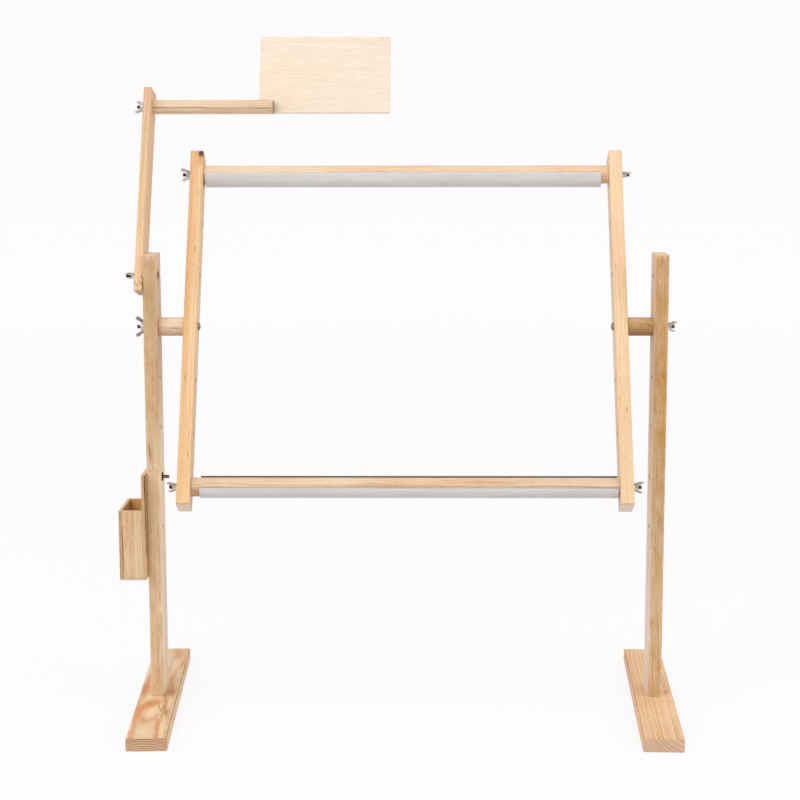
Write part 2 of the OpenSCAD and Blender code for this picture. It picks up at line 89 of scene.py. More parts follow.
# ---------------------------------------------------------------- shader helpers

class Graph:
    """Small builder for a node tree."""

    def __init__(self, name, tree=None):
        if tree is None:
            self.material = bpy.data.materials.new(name)
            self.material.use_nodes = True
            tree = self.material.node_tree
        self.tree = tree
        tree.nodes.clear()

    def feed(self, socket, value):
        if isinstance(value, bpy.types.NodeSocket):
            self.tree.links.new(value, socket)
        elif value is not None:
            socket.default_value = value

    def add(self, kind, inputs=None, **settings):
        node = self.tree.nodes.new(kind)
        for key, value in settings.items():
            setattr(node, key, value)
        for key, value in (inputs or {}).items():
            self.feed(node.inputs[key], value)
        return node

    def math(self, operation, a, b=None, c=None, clamp=False):
        node = self.add("ShaderNodeMath", operation=operation, use_clamp=clamp)
        for socket, value in zip(node.inputs, (a, b, c)):
            self.feed(socket, value)
        return node.outputs[0]

    def vector(self, operation, a, b=None, scale=None, out=0):
        """Vector maths; out is 1 where the result is a number."""
        node = self.add("ShaderNodeVectorMath", operation=operation)
        self.feed(node.inputs[0], a)
        self.feed(node.inputs[1], b)
        if scale is not None:
            self.feed(node.inputs["Scale"], scale)
        return node.outputs[out]

    def mix(self, factor, a, b, blend="MIX"):
        """Mix of two colours or vectors, where 0 gives the first."""
        node = self.add("ShaderNodeMix", data_type="RGBA", blend_type=blend)
        self.feed(node.inputs[0], factor)
        for socket, value in ((node.inputs[6], a), (node.inputs[7], b)):
            self.feed(socket, value if isinstance(value, bpy.types.NodeSocket) else (*value, 1))
        return node.outputs[2]

    def step(self, value, low, high, to_low=0.0, to_high=1.0, smooth=True):
        """to_low below low, to_high above high, and a slope between."""
        node = self.add("ShaderNodeMapRange", interpolation_type="SMOOTHSTEP" if smooth else "LINEAR")
        for key, amount in zip(range(5), (value, low, high, to_low, to_high)):
            self.feed(node.inputs[key], amount)
        return node.outputs[0]

    def noise(self, coords, freq, detail=2.0, rough=0.5, colour=False):
        scaled = self.vector("MULTIPLY", coords, freq)
        node = self.add("ShaderNodeTexNoise", {"Vector": scaled, "Scale": 1.0, "Detail": detail,
                                               "Roughness": rough})
        return node.outputs["Color" if colour else "Fac"]

    def gauss(self, coords, centre, radii):
        away = self.vector("MULTIPLY", self.vector("SUBTRACT", coords, centre), [1.0 / r for r in radii])
        square = self.vector("DOT_PRODUCT", away, away, out=1)
        return self.math("EXPONENT", self.math("MULTIPLY", square, -1.0))

    def surface(self, **inputs):
        shader = self.add("ShaderNodeBsdfPrincipled")
        for key, value in inputs.items():
            self.feed(shader.inputs[key.replace("_", " ")], value)
        output = self.add("ShaderNodeOutputMaterial")
        self.tree.links.new(shader.outputs[0], output.inputs["Surface"])


def linear(rgb):
    """Linear colour of an sRGB colour given as 0 to 255."""
    return tuple((c / 255 / 12.92) if c <= 10.3 else ((c / 255 + 0.055) / 1.055) ** 2.4 for c in rgb)


# ---------------------------------------------------------------- materials

# Noises in the wood: frequency per mm across, through and along the grain, then detail and roughness
FIGURE = {
    "drift": ((0.003, 0.003, 0.0042), 1.0, 0.5),
    "broad": ((0.012, 0.012, 0.0045), 3.0, 0.5),
    "patch": ((0.02, 0.02, 0.006), 2.0, 0.5),
    "wave": ((0.045, 0.045, 0.011), 2.0, 0.5),
    "clouds": ((0.09, 0.09, 0.035), 5.0, 0.62),
    "rag": ((0.16, 0.16, 0.02), 2.0, 0.5),
    "streaks": ((0.26, 0.26, 0.0055), 3.0, 0.5),
    "fine": ((0.3, 0.3, 0.03), 2.0, 0.5),
    "pores": ((0.85, 0.85, 0.075), 1.0, 0.5),
    "fibres": ((1.15, 1.15, 0.022), 4.0, 0.62),
}
END_DOTS = ((2.1, 2.1, 0.3), 2.0)
# Slopes for Graph.step: between which values, and from what to what (0 to 1 where it isn't said)
RISE, FALL = (0.28, 0.86), (0.92, 1.0, 1.0, 0.0)
PATCH_POWER, TINT_SHARE = (0.3, 0.7, 0.55, 1.25), (0.38, 0.66, 0.0, 0.85)
STROKE_GAPS = (0.32, 0.6, 0.55, 1.0)
BORE_SHADE, PORE_SIZE = (3.3, 4.3, 0.8, 0.0), (0.62, 0.74)
FACING, DOT_SIZE, END_RINGS = (0.5, 0.85), (0.5, 0.7), (0.0, 1.0, 0.6, 1.0)
# Colour of the painted shade on the walls of drilled holes
BORE_SHADOW_TONE = (84, 56, 40)
SEED_STRIDES = (137.3, 71.9, 311.7)
# Pace at which the rings' thickness changes, small waves of the rings in mm, the faintest ring's share
GROWTH_PACE, FINE_WAVE, FAINTEST = 0.55, 0.9, 0.4
# How far a mark's edge and a stroke's line are torn, in mm and as a share of that
RAG_MM, STROKE_RAG = (7, 7, 9), 0.34
# Strokes reach through the wood and run out softly along the grain
STROKE = Matrix.Diagonal((1, 0.1, 0.4))
# How much richer darker wood is, and how much dots and the end tones show on sawn ends
RICHNESS, DOT_SHARE, END_SHARE = 1.3, 0.3, 0.9
# Relief of late wood, pores and end dots against that of the fibres, and the whole relief's depth
LATE_RELIEF, PORE_RELIEF, DOT_RELIEF, WOOD_RELIEF = 0.5, -0.6, -0.7, 0.05 * MM
WOOD_ROUGH, WOOD_GLOSS_SPREAD = 0.56, 0.16
POST_BORES = [TOP_HOLE_Z - POST_PITCH * i - POST_MID_Z for i in range(6)]
BAR_BORES = (-170, -85, 85, 170)
# Noise frequencies per metre in the plating, and along and round the extruded clips
PLATE_CLOUDS, PLATE_PITS = [260] * 3, [3640] * 3
CLIP_LINES, CLIP_CLOUDS, CLIP_SPECKS = (3.0, 900.0, 900.0), (9.0, 60.0, 60.0), (500.0, 500.0, 500.0)
# Slopes of the plating's tones, pits and gloss, the tone of a pit against the dull one, and the relief
PLATE_TONES, PIT_TONES, PLATE_GLOSS = (0.32, 0.68), (0.62, 0.8, 0.0, 0.35), (0.3, 0.7)
PIT_DARK, PLATE_RELIEF = 0.6, 0.12 * MM
# The same for the clips, and slopes for the painted shade on their rear side, inner face and the rear lip's
# rim
CLIP_TONES, SPECK_SIZE, CLIP_GLOSS = (0.35, 0.65), (0.72, 0.8), (0.3, 0.7, 0.27, 0.38)
SPECK_SHARE, SPECK_DARK, CLIP_RELIEF = 0.12, 0.7, 0.08 * MM
REAR_SHADE_SIDE, INNER_SHADE, REAR_RIM_SHADE = (0.0, 0.3, 0.0), (-0.6, -0.3, 0.95, 0.0), (0.5, 0.75, 1.0, 0.0)


def wood(name, place, early, late, ring=3.2, pith=(0, -90), wander=5.0, ripple=2.5, contrast=0.8,
         uneven=1.3, fibre=0.055, streak=0.05, fleck=0.12, mottle=0.05, tint=None, swirls=(), marks=(),
         strokes=(), bores=(), end=((226, 196, 170), (172, 122, 88)), side_shading=(1, 1, 1), seed=1.0, sheen=0.0):
    """Sawn wood. place turns the piece's own axes (x across, y through, z along the grain) into the
    stand's. Rings are ring mm apart round the pith, stray by wander and ripple mm, and differ by uneven;
    contrast is the late wood's strength. fibre, streak, fleck and mottle are the strengths of that figure,
    and tint is a second early tone in broad patches. swirls bend the rings, marks and strokes stain the
    wood and some of them paint light and shade on it, bores are heights of drilled holes along x whose
    walls get painted shade, end is the pair of tones of its sawn ends, the side tint paints light (above 1)
    and shade (below 1) on the faces across x, and seed sets the piece apart from the others."""
    g = Graph(name)
    coords = g.add("ShaderNodeTexCoord")
    back = place.to_3x3().transposed()
    origin = back @ (place.translation / MM)
    local = g.add("ShaderNodeMapping", {
        "Vector": coords.outputs["Object"], "Location": [-v for v in origin],
        "Rotation": list(back.to_euler("XYZ")), "Scale": [1 / MM] * 3}).outputs[0]
    seeded = g.vector("ADD", local, [seed * stride for stride in SEED_STRIDES])

    def figure(kind, colour=False):
        return g.noise(seeded, *FIGURE[kind], colour=colour)

    def strayed(kind, reach):
        """The piece's own coordinates, each pushed aside by a noise times a reach in mm."""
        centred = g.vector("SUBTRACT", figure(kind, colour=True), (0.5, 0.5, 0.5))
        return g.vector("ADD", local, g.vector("MULTIPLY", centred, reach))

    # Rings: distance from the heart, waved and swirled, then cut into early and late wood
    bent = strayed("drift", (2 * wander, 2 * wander, 0))
    heart = g.vector("MULTIPLY", g.vector("SUBTRACT", bent, (*pith, 0)), (1, 1, 0))
    far = g.vector("LENGTH", heart, out=1)
    far = g.math("MULTIPLY_ADD", figure("wave"), 2 * ripple, far)
    fine = figure("fine")
    far = g.math("MULTIPLY_ADD", fine, FINE_WAVE, far)
    for centre, radii, amount in swirls:
        far = g.math("MULTIPLY_ADD", g.gauss(bent, centre, radii), amount, far)
    rings = g.math("DIVIDE", far, ring)
    growth = g.add("ShaderNodeTexNoise", {"W": g.math("MULTIPLY", rings, GROWTH_PACE), "Scale": 1.0,
                                          "Detail": 1.0}, noise_dimensions="1D").outputs["Fac"]
    rings = g.math("MULTIPLY_ADD", growth, uneven, rings)
    part = g.math("FRACT", rings)
    bands = g.math("MULTIPLY", g.step(part, *RISE), g.step(part, *FALL))
    each = g.add("ShaderNodeTexWhiteNoise", {"W": g.math("FLOOR", rings)},
                 noise_dimensions="1D").outputs["Value"]
    power = g.step(each, 0.0, 1.0, FAINTEST * contrast, contrast, smooth=False)
    power = g.math("MULTIPLY", power, g.step(figure("patch"), *PATCH_POWER))
    late_part = g.math("MULTIPLY", bands, power)
    colour = g.mix(late_part, linear(early), linear(late))
    if tint:
        tinted = g.mix(late_part, linear(tint), linear(late))
        colour = g.mix(g.step(figure("broad"), *TINT_SHARE), colour, tinted)

    # Marks and strokes: real stains, and painted light and shade where noted at the pieces; the drilled
    # holes' walls get painted shade
    rag = strayed("rag", RAG_MM)
    for centre, radii, stain_or_light, amount in marks:
        share = g.math("MULTIPLY", g.gauss(rag, centre, radii), amount, clamp=True)
        colour = g.mix(share, colour, linear(stain_or_light))
    slight = g.mix(STROKE_RAG, local, rag)
    gaps = g.step(fine, *STROKE_GAPS)
    for start, stop, width, stain_or_light, amount in strokes:
        run = STROKE @ (Vector(stop) - Vector(start))
        from_start = g.vector("MULTIPLY", g.vector("SUBTRACT", slight, start), STROKE.to_scale())
        share = g.vector("DOT_PRODUCT", from_start, run / run.length_squared, out=1)
        share = g.math("MULTIPLY", share, 1.0, clamp=True)
        off = g.vector("SUBTRACT", from_start, g.vector("SCALE", run, scale=share))
        off = g.math("DIVIDE", g.vector("LENGTH", off, out=1), width)
        glow = g.math("EXPONENT", g.math("MULTIPLY", g.math("MULTIPLY", off, off), -1.0))
        glow = g.math("MULTIPLY", glow, g.math("MULTIPLY", gaps, amount))
        colour = g.mix(glow, colour, linear(stain_or_light))
    for z in bores:
        off = g.vector("MULTIPLY", g.vector("SUBTRACT", local, (0, 0, z)), (0, 1, 1))
        off = g.vector("LENGTH", off, out=1)
        colour = g.mix(g.step(off, *BORE_SHADE), colour, linear(BORE_SHADOW_TONE))

    # Fibres, streaks, clouds and pores lighten and darken it; darker wood is richer in colour
    fibres, pores = figure("fibres"), g.step(figure("pores"), *PORE_SIZE)
    value = g.math("MULTIPLY_ADD", fibres, 2 * fibre, 1 - fibre)
    for kind, depth in (("streaks", streak), ("clouds", mottle)):
        value = g.math("MULTIPLY", value, g.math("MULTIPLY_ADD", figure(kind), 2 * depth, 1 - depth))
    value = g.math("MULTIPLY", value, g.math("MULTIPLY_ADD", pores, -fleck, 1.0))
    richer = g.math("MULTIPLY_ADD", g.math("SUBTRACT", 1.0, value), RICHNESS, 1.0)
    colour = g.add("ShaderNodeHueSaturation", {"Color": colour, "Value": value,
                                               "Saturation": richer}).outputs[0]

    # Faces across x get painted light where the side tint is above 1 and painted shade where it is below 1,
    # and faces across the grain show rings and dots
    sawn, side = [g.step(g.math("ABSOLUTE", g.vector(
        "DOT_PRODUCT", coords.outputs["Normal"], back.transposed() @ Vector(way), out=1)), *FACING)
        for way in (Z, X)]
    colour = g.mix(side, colour, g.mix(1.0, colour, side_shading, "MULTIPLY"))
    dots = g.step(g.noise(local, *END_DOTS), *DOT_SIZE)
    pale_end, dark_end = linear(end[0]), linear(end[1])
    cut = g.mix(g.math("MULTIPLY", bands, g.step(each, *END_RINGS)), pale_end, dark_end)
    cut = g.mix(g.math("MULTIPLY", dots, DOT_SHARE), cut, dark_end)
    colour = g.mix(g.math("MULTIPLY", sawn, END_SHARE), colour, cut)

    height = g.math("MULTIPLY_ADD", late_part, LATE_RELIEF, fibres)
    height = g.math("MULTIPLY_ADD", pores, PORE_RELIEF, height)
    height = g.math("MULTIPLY_ADD", g.math("MULTIPLY", dots, sawn), DOT_RELIEF, height)
    bump = g.add("ShaderNodeBump", {"Height": height, "Strength": 0.25, "Distance": WOOD_RELIEF})
    rough = g.math("MULTIPLY_ADD", fibres, WOOD_GLOSS_SPREAD, WOOD_ROUGH - WOOD_GLOSS_SPREAD / 2)
    g.surface(Base_Color=colour, Roughness=rough, Normal=bump.outputs[0], Specular_IOR_Level=0.5,
              Sheen_Weight=sheen, Sheen_Roughness=0.4)
    return g.material


def plated(name, bright, dull, rough, metal=1.0, shine=0.5):
    """Zinc or yellow passivated steel: cloudy plating, tiny pits, a slightly uneven gloss."""
    g = Graph(name)
    coords = g.add("ShaderNodeTexCoord").outputs["Object"]
    cloud = g.noise(coords, PLATE_CLOUDS, 4.0, 0.6)
    pits = g.noise(coords, PLATE_PITS, 2.0)
    colour = g.mix(g.step(cloud, *PLATE_TONES), linear(bright), linear(dull))
    colour = g.mix(g.step(pits, *PIT_TONES), colour, linear([c * PIT_DARK for c in dull]))
    bump = g.add("ShaderNodeBump", {"Height": g.math("MULTIPLY_ADD", pits, 0.5, cloud), "Strength": 0.3,
                                    "Distance": PLATE_RELIEF})
    g.surface(Base_Color=colour, Metallic=metal, Roughness=g.step(cloud, *PLATE_GLOSS, *rough),
              Specular_IOR_Level=shine, Normal=bump.outputs[0])
    return g.material


def plastic(name, height, pale, warm, mouth_shade, rim):
    """Extruded white plastic round a rod at the given height on the frame: faint drawn lines along X,
    cloudy tone, satin gloss, and painted shade on the inner face, where the rod shades it.
    rim is how strongly the rear lip's rim gets that painted shade too."""
    g = Graph(name)
    coords = g.add("ShaderNodeTexCoord")
    place = coords.outputs["Object"]
    drawn = g.noise(place, CLIP_LINES, 3.0)
    cloud = g.noise(place, CLIP_CLOUDS, 2.0)
    specks = g.step(g.noise(place, CLIP_SPECKS, 1.0), *SPECK_SIZE)
    colour = g.mix(g.step(cloud, *CLIP_TONES), linear(pale), linear(warm))
    colour = g.mix(g.math("MULTIPLY", specks, SPECK_SHARE), colour, linear([c * SPECK_DARK for c in warm]))
    centre = (ON_FRAME @ shift(0, 0, height)).translation
    spoke = g.vector("NORMALIZE", g.vector("MULTIPLY", g.vector("SUBTRACT", place, centre), (0, 1, 1)))
    outer = g.vector("DOT_PRODUCT", coords.outputs["Normal"], spoke, out=1)
    rear = g.step(g.vector("DOT_PRODUCT", spoke, Y, out=1), *REAR_SHADE_SIDE, rim)
    # Painted shade: the inner face, and as far as rim reaches the rear lip's rim, take the dark shade colour
    inner_shade = g.step(outer, *INNER_SHADE)
    rear_rim_shade = g.math("MULTIPLY", rear, g.step(outer, *REAR_RIM_SHADE))
    colour = g.mix(g.math("MAXIMUM", inner_shade, rear_rim_shade), colour, linear(mouth_shade))
    bump = g.add("ShaderNodeBump", {"Height": drawn, "Strength": 0.25, "Distance": CLIP_RELIEF})
    g.surface(Base_Color=colour, Roughness=g.step(drawn, *CLIP_GLOSS), Normal=bump.outputs[0],
              Specular_IOR_Level=0.5, Subsurface_Weight=0.06, Subsurface_Radius=(0.004, 0.003, 0.0025))
    return g.material


LEFT_FOOT = along(shift(-FOOT_X, 0, FOOT_MID_Z) @ turn("Z", FOOT_SPLAY), X, Z)
RIGHT_FOOT = along(shift(FOOT_X, 0, FOOT_MID_Z) @ turn("Z", -FOOT_SPLAY), X, Z)

# Marks are (middle, radii, tone, strength), strokes (from, to, width, tone, strength), swirls (middle,
# radii, shift of the rings), all in mm of the piece's own axes
woods = {
    "left_foot": wood(
        "left_foot_wood", LEFT_FOOT, (234, 202, 160), (190, 128, 78), ring=3.3, pith=(-4, -95), wander=3,
        ripple=0.8, contrast=0.8, uneven=0.35, fleck=0.16, tint=(228, 188, 146), seed=1.3,
        end=((229, 184, 148), (116, 71, 49)),
        swirls=[((18, 10, -40), (16, 40, 90), 3.0)],
        marks=[
            ((-6, 10, 112), (9, 30, 18), (248, 218, 176), 0.85),
            ((-8, 10, 195), (14, 30, 28), (230, 206, 168), 0.7),
            ((-25, 10, 206), (5, 30, 20), (222, 144, 86), 0.7),
            ((-25, 10, -8), (8, 30, 34), (214, 138, 78), 0.95),
            ((17, 10, 14), (9, 30, 24), (188, 122, 64), 0.95),
            ((13, 10, -60), (7, 30, 46), (200, 144, 102), 0.85),
            ((15, 10, -195), (7, 30, 36), (206, 138, 82), 0.85),
            ((25, 10, -140), (5, 30, 40), (206, 138, 84), 0.6),
            ((1, 10, -150), (9, 30, 42), (214, 196, 172), 0.65),
            ((19, 10, 112), (4.5, 30, 22), (190, 126, 70), 0.75)],
        strokes=[
            ((3, 10, 61), (-11, 10, 70), 5.6, (210, 138, 74), 1.0),
            ((-11, 10, 72), (-22, 10, 92), 7.6, (210, 138, 74), 1.0),
            ((-22, 10, 96), (-23, 10, 126), 8.0, (216, 146, 82), 1.0),
            ((-22, 10, 138), (-11, 10, 152), 6.0, (220, 154, 94), 0.95),
            ((-9, 10, 154), (3, 10, 145), 4.8, (222, 162, 106), 0.8),
            ((4, 10, 142), (6, 10, 120), 2.0, (206, 146, 92), 0.6),
            ((9, 10, 150), (14, 10, 218), 2.6, (206, 140, 76), 0.85),
            ((16, 10, 128), (24, 10, 226), 1.6, (240, 210, 160), 0.6),
            ((13.4, 10, 139), (20.5, 10, 226), 0.7, (250, 222, 160), 0.6),
            ((8, 10, 84), (12, 10, 68), 1.6, (250, 222, 164), 0.6),
            ((4.5, 10, 78), (10.6, 10, 106), 1.1, (140, 90, 50), 0.7),
            ((10.6, 10, 106), (17, 10, 52), 1.3, (156, 104, 58), 0.65),
            ((13, 10, 84), (23, 10, 136), 1.5, (166, 112, 66), 0.5),
            ((10, 10, 78), (22, 10, -60), 0.9, (176, 118, 70), 0.5),
            # Painted highlight along the top face's edge
            ((26.6, 10, -200), (26.6, 10, 200), 0.5, (252, 224, 166), 0.6),
            ((24.4, 10, -225), (24.4, 10, 228), 0.5, (176, 122, 78), 0.6),
            ((28.4, 10, -225), (28.4, 10, 228), 0.8, (120, 78, 50), 0.9)]),
    "right_foot": wood(
        "right_foot_wood", RIGHT_FOOT, (238, 199, 153), (192, 134, 84), ring=3.0, pith=(60, 70), wander=2.5,
        ripple=1.0, contrast=0.85, fleck=0.12, tint=(230, 188, 144), seed=2.6,
        end=((228, 194, 166), (186, 140, 112)),
        marks=[
            ((20.6, 10, 6), (3, 30, 9), (196, 126, 72), 0.85),
            ((17, 10, 38), (10, 30, 24), (236, 180, 142), 0.65)],
        strokes=[((-28.2, 10, -228), (-28.2, 10, 228), 0.8, (160, 104, 64), 0.85)]),
    "left_post": wood(
        "left_post_wood", shift(-POST_X, 0, POST_MID_Z), (232, 197, 153), (186, 142, 98), ring=2.1,
        pith=(46, -60), wander=5, ripple=2.0, contrast=0.75, fibre=0.09, streak=0.11, fleck=0.3,
        # Side tint above 1: painted pale sheen on the post's side faces
        mottle=0.22, tint=(217, 180, 140), seed=3.1, sheen=0.25, side_shading=(1.12, 1.16, 1.20),
        end=((232, 200, 164), (196, 150, 112)), bores=POST_BORES,
        marks=[
            ((0, 0, 250), (90, 90, 190), (192, 156, 112), 0.7),
            ((-2, -30, -5), (60, 60, 100), (244, 212, 172), 0.7),
            ((0, -30, 342), (40, 12, 7), (242, 208, 188), 0.65),
            ((-3.6, -30, 43), (1.1, 20, 11), (112, 78, 54), 0.85),
            ((-3.6, -30, 43), (4.5, 20, 20), (182, 140, 102), 0.5),
            ((10, 0, 307), (9, 7.8, 7.8), (96, 44, 28), 1.6),
            ((0, -30, -220), (60, 60, 110), (240, 208, 172), 0.35),
            # Painted pale sheen low on the inner face
            ((10, 0, -220), (4, 60, 140), (248, 230, 212), 0.3)],
        strokes=[
            ((3.5, -30, 150), (4, -30, 338), 0.7, (176, 136, 96), 0.6),
            ((-6, -30, 300), (-5, -30, 336), 3, (222, 178, 146), 0.7),
            ((2, -30, -310), (3, -30, -230), 1.6, (196, 152, 108), 0.4),
            ((10, 6, -120), (10, 6, -320), 0.8, (150, 120, 98), 0.4)]),
    "right_post": wood(
        "right_post_wood", shift(POST_X, 0, POST_MID_Z), (226, 194, 150), (184, 138, 92), ring=2.4,
        pith=(-40, -70), wander=6, ripple=2.6, contrast=0.85, fibre=0.09, streak=0.12, fleck=0.3,
        # Side tint above 1: painted pale sheen on the post's side faces
        mottle=0.26, tint=(215, 177, 131), seed=4.4, sheen=0.25, side_shading=(1.13, 1.18, 1.34),
        end=((232, 194, 148), (196, 144, 96)), bores=POST_BORES,
        marks=[
            ((0, 0, 240), (90, 90, 200), (192, 146, 96), 0.6),
            ((4, -30, 100), (4, 20, 120), (206, 146, 76), 0.5),
            ((0, -30, 342), (40, 12, 6), (228, 186, 136), 0.7),
            ((5, -30, 250), (5, 20, 40), (206, 150, 84), 0.5),
            # Painted pale sheen low on the inner face
            ((-10, 0, -220), (4, 60, 140), (252, 236, 224), 0.28)],
        strokes=[
            ((5, -30, 60), (3, -30, 240), 1.6, (206, 146, 74), 0.6),
            ((-7, -30, 100), (-7, -30, 300), 1.0, (170, 124, 84), 0.5)]),
    "left_side_bar": wood(
        "left_bar_wood", shift(-BAR_X, 0, 0) @ ON_FRAME, (243, 206, 158), (214, 152, 92), ring=3.8,
        pith=(60, 26), wander=6, ripple=2.0, contrast=0.6, fleck=0.16, tint=(238, 197, 146), seed=5.2,
        # Side tint below 1: painted shade on the bar's side faces
        side_shading=(0.86, 0.93, 1.04), bores=BAR_BORES, end=((250, 238, 224), (236, 206, 184)),
        marks=[
            ((-6.5, -20, 0), (5.5, 16, 420), (224, 160, 96), 0.6),
            ((0, -20, -195), (60, 60, 90), (232, 188, 134), 0.65),
            ((6.8, -20, 280), (5.5, 12, 5.5), (84, 46, 28), 1.5),
            ((6, -20, 268), (7, 10, 8), (222, 160, 84), 0.8),
            ((2, -20, 120), (1.2, 8, 5), (154, 104, 64), 0.7),
            ((-4, -20, -90), (1.1, 8, 6), (164, 112, 70), 0.7),
            ((5, -20, -210), (1.1, 8, 5), (160, 106, 64), 0.6)],
        strokes=[((-10, -20, -284.5), (10, -20, -284.5), 0.5, (176, 104, 70), 0.8)]),
    "right_side_bar": wood(
        "right_bar_wood", shift(BAR_X, 0, 0) @ ON_FRAME, (245, 213, 172), (220, 170, 124), ring=3.6,
        pith=(-58, 34), wander=6, ripple=2.2, contrast=0.55, fleck=0.14, tint=(240, 200, 160), seed=6.7,
        # Side tint below 1: painted shade on the bar's side faces
        side_shading=(0.86, 0.90, 0.99), bores=BAR_BORES, end=((250, 236, 224), (236, 206, 184)),
        marks=[
            ((0, -20, -195), (60, 60, 90), (236, 198, 154), 0.6),
            ((0, -20, 240), (60, 60, 90), (254, 228, 190), 0.3),
            ((3, -20, -140), (1.1, 8, 5), (170, 118, 78), 0.6),
            ((-5, -20, 90), (1.0, 8, 5), (170, 118, 78), 0.6),
            ((8, -20, 100), (3, 16, 240), (236, 200, 140), 0.5)],
        strokes=[((-10, -20, -284.5), (10, -20, -284.5), 0.5, (176, 104, 76), 0.8)]),
    "top_rod": wood(
        "top_rod_wood", along(ON_FRAME @ shift(0, 0, ROD_REACH), Y, Z), (242, 216, 182), (212, 154, 104),
        ring=3.4, pith=(20, -44), wander=7, ripple=2.4, contrast=0.65, fleck=0.16, tint=(236, 202, 163),
        seed=7.5,
        marks=[
            ((-6, 12, 60), (3, 6, 26), (206, 144, 92), 0.6),
            ((-8, 10, 235), (3, 6, 20), (198, 134, 84), 0.55)]),
    "bottom_rod": wood(
        "bottom_rod_wood", along(ON_FRAME @ shift(0, 0, -ROD_REACH), Y, Z), (234, 210, 181),
        (202, 150, 104), ring=3.6, pith=(30, 48), wander=7, ripple=2.4, contrast=0.7, fleck=0.18,
        tint=(228, 195, 160), seed=8.8,
        marks=[
            # Painted shade on the underside of the rod's left end
            ((-9, -12, -306), (12, 8, 9), (188, 138, 90), 0.75),
            ((-13, -2, -40), (4, 4, 60), (200, 144, 96), 0.6),
            ((-13, 3, 120), (4, 3, 50), (196, 138, 92), 0.6)]),
    "left_spacer": wood(
        "left_spacer_wood", along(shift(-SPACER_X, 0, PIVOT_Z), Y, Z), (242, 218, 188), (206, 158, 122),
        ring=3.0, pith=(8, -24), wander=3, ripple=1.5, contrast=0.5, tint=(234, 202, 172), seed=9.4,
        marks=[
            ((-14, -1, 4), (4, 0.8, 11), (140, 98, 68), 0.8),
            # Painted shadow: a dark ring where the spacer meets the post
            ((0, 0, -19.4), (60, 60, 1.0), (96, 66, 48), 0.9),
            ((0, 0, -17), (60, 60, 2.2), (214, 160, 132), 0.6),
            # Painted light: the top lighter, the underside darker
            ((0, 18, 0), (40, 13, 60), (255, 234, 206), 0.5),
            ((0, -20, 0), (40, 13, 60), (192, 152, 116), 0.5)]),
    "right_spacer": wood(
        "right_spacer_wood", along(shift(SPACER_X, 0, PIVOT_Z), Y, Z) @ turn("Y", 8), (206, 164, 112),
        (118, 76, 42), ring=1.9, pith=(6, -26), wander=5, ripple=5.0, contrast=0.9, fleck=0.3, mottle=0.16,
        tint=(180, 132, 80), seed=10.9,
        marks=[
            # Painted light: the top lighter, the underside darker
            ((0, 20, 0), (40, 12, 60), (238, 206, 166), 0.6),
            ((0, -20, 0), (40, 13, 60), (126, 86, 52), 0.75)]),
    "chart_arm": wood(
        "arm_wood", shift(-ARM_X, 0, TOP_HOLE_Z) @ turn("X", -ARM_LEAN), (229, 192, 150), (194, 143, 94),
        ring=2.8, pith=(52, 30), wander=6, ripple=2.2, contrast=0.6, fleck=0.16, tint=(223, 182, 143),
        seed=11.3, end=((206, 168, 158), (174, 130, 118)),
        marks=[
            ((0, -28, 10), (60, 60, 40), (240, 204, 160), 0.6),
            ((4.6, -28, -25), (1.3, 10, 2.6), (104, 66, 44), 0.9),
            ((0.8, -28, -21), (1.0, 10, 1.8), (120, 78, 52), 0.8),
            ((4.6, -28, -15), (1.1, 10, 2.4), (116, 74, 48), 0.8),
            ((-4.4, -28, -23), (0.9, 10, 2), (130, 88, 60), 0.7),
            ((-1, -28, -26), (1.0, 10, 1.6), (124, 80, 54), 0.7)]),
    "chart_dowel": wood(
        "dowel_wood", along(ON_DOWEL @ shift(-DOWEL_X, 0, 0), Y, Z), (237, 212, 181), (206, 158, 116),
        ring=3.0, pith=(24, 30), wander=6, ripple=2.2, contrast=0.6, tint=(226, 194, 162), seed=12.8,
        end=((160, 132, 94), (124, 98, 66)),
        # Painted shade: a dark ring along the dowel's end edge
        marks=[((0, 0, 93.6), (60, 60, 0.9), (116, 92, 62), 0.85)],
        strokes=[((-9.3, -5.9, -94), (-9.3, -5.9, 94), 0.6, (148, 110, 78), 0.75)]),
    "chart_board": wood(
        "board_wood_grain", along(ON_DOWEL @ shift(*BOARD_MID), Z, Y), (242, 225, 206), (232, 208, 180),
        ring=8.0, pith=(-160, 90), wander=26, ripple=11, contrast=0.4, fibre=0.05, streak=0.055, fleck=0.12,
        mottle=0.05, tint=(243, 222, 198), end=((226, 200, 170), (206, 168, 128)), seed=13.6),
}
